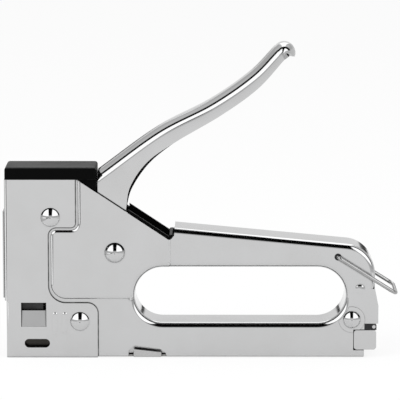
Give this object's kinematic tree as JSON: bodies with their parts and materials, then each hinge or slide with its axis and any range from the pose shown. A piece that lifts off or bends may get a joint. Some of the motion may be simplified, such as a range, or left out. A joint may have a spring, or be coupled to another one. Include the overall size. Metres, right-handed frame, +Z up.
{
  "type": "hand staple tacker",
  "caption": "Squeeze-lever staple tacker: polished sheet-steel body with an oblong grip opening, black head cap, sprung ram, rear-loading magazine and a wire bail that locks the lever.",
  "frame": {"origin": "centre of the tacker's length and width, at the flat base of the nose and magazine", "axes": "-X towards the nose, where the staples come out, +X towards the magazine's latch, +Y across the body, +Z up through the handle and lever"},
  "size_m": [0.1619, 0.0264, 0.1292],
  "materials": {
    "nickel": "polished",
    "black_plastic": "satin",
    "steel": "brushed",
    "spring_steel": "drawn",
    "dark_steel": "blackened",
    "bumper": "matt"
  },
  "bodies": {
    "root": {"near_shell": "nickel", "far_shell": "nickel", "head_cover": "nickel", "front_plate": "nickel", "top_cap": "black_plastic", "drive_frame": "steel", "buffer": "bumper", "main_spring": "spring_steel", "lever_spring": "spring_steel", "magazine_channel": "steel", "lever_pivot": "nickel", "head_rivet": "nickel", "nose_rivet": "nickel", "rear_rivet": "nickel"},
    "lever": {"lever": "nickel", "lever_insert": "black_plastic", "lift_toe": "steel"},
    "ram": {"ram": "steel", "driver_blade": "steel"},
    "magazine": {"magazine_core": "steel", "guide_rod": "steel", "pusher_spring": "spring_steel", "latch_cap": "nickel", "latch_catch": "dark_steel", "catch_pin": "nickel"},
    "pusher": {"pusher": "steel"},
    "bail": {"bail": "nickel"}
  },
  "joints": [
    {"name": "lever_turn", "type": "hinge", "parent": "root", "child": "lever", "pos_m": [-0.035, 0, 0.0436], "axis": [0, 1, 0], "range_deg": [0, 30], "stiffness_Nm_per_rad": 0.5, "springref_deg": -17.19},
    {"name": "ram_slide", "type": "slide", "parent": "root", "child": "ram", "axis": [0, 0, 1], "range_m": [0, 0.0161], "stiffness_N_per_m": 500, "springref_m": -0.01, "deforming": ["main_spring"]},
    {"name": "magazine_slide", "type": "slide", "parent": "root", "child": "magazine", "axis": [1, 0, 0], "range_m": [0, 0.1]},
    {"name": "pusher_slide", "type": "slide", "parent": "magazine", "child": "pusher", "axis": [1, 0, 0], "range_m": [0, 0.075], "stiffness_N_per_m": 10, "springref_m": -0.03, "deforming": ["pusher_spring"]},
    {"name": "bail_turn", "type": "hinge", "parent": "root", "child": "bail", "pos_m": [0.0564, 0, 0.0418], "axis": [0, 1, 0], "range_deg": [-190, 10]}
  ],
  "couplings": [
    {"joint": "ram_slide", "follows": "lever_turn", "m_per_rad": 0.03065}
  ]
}
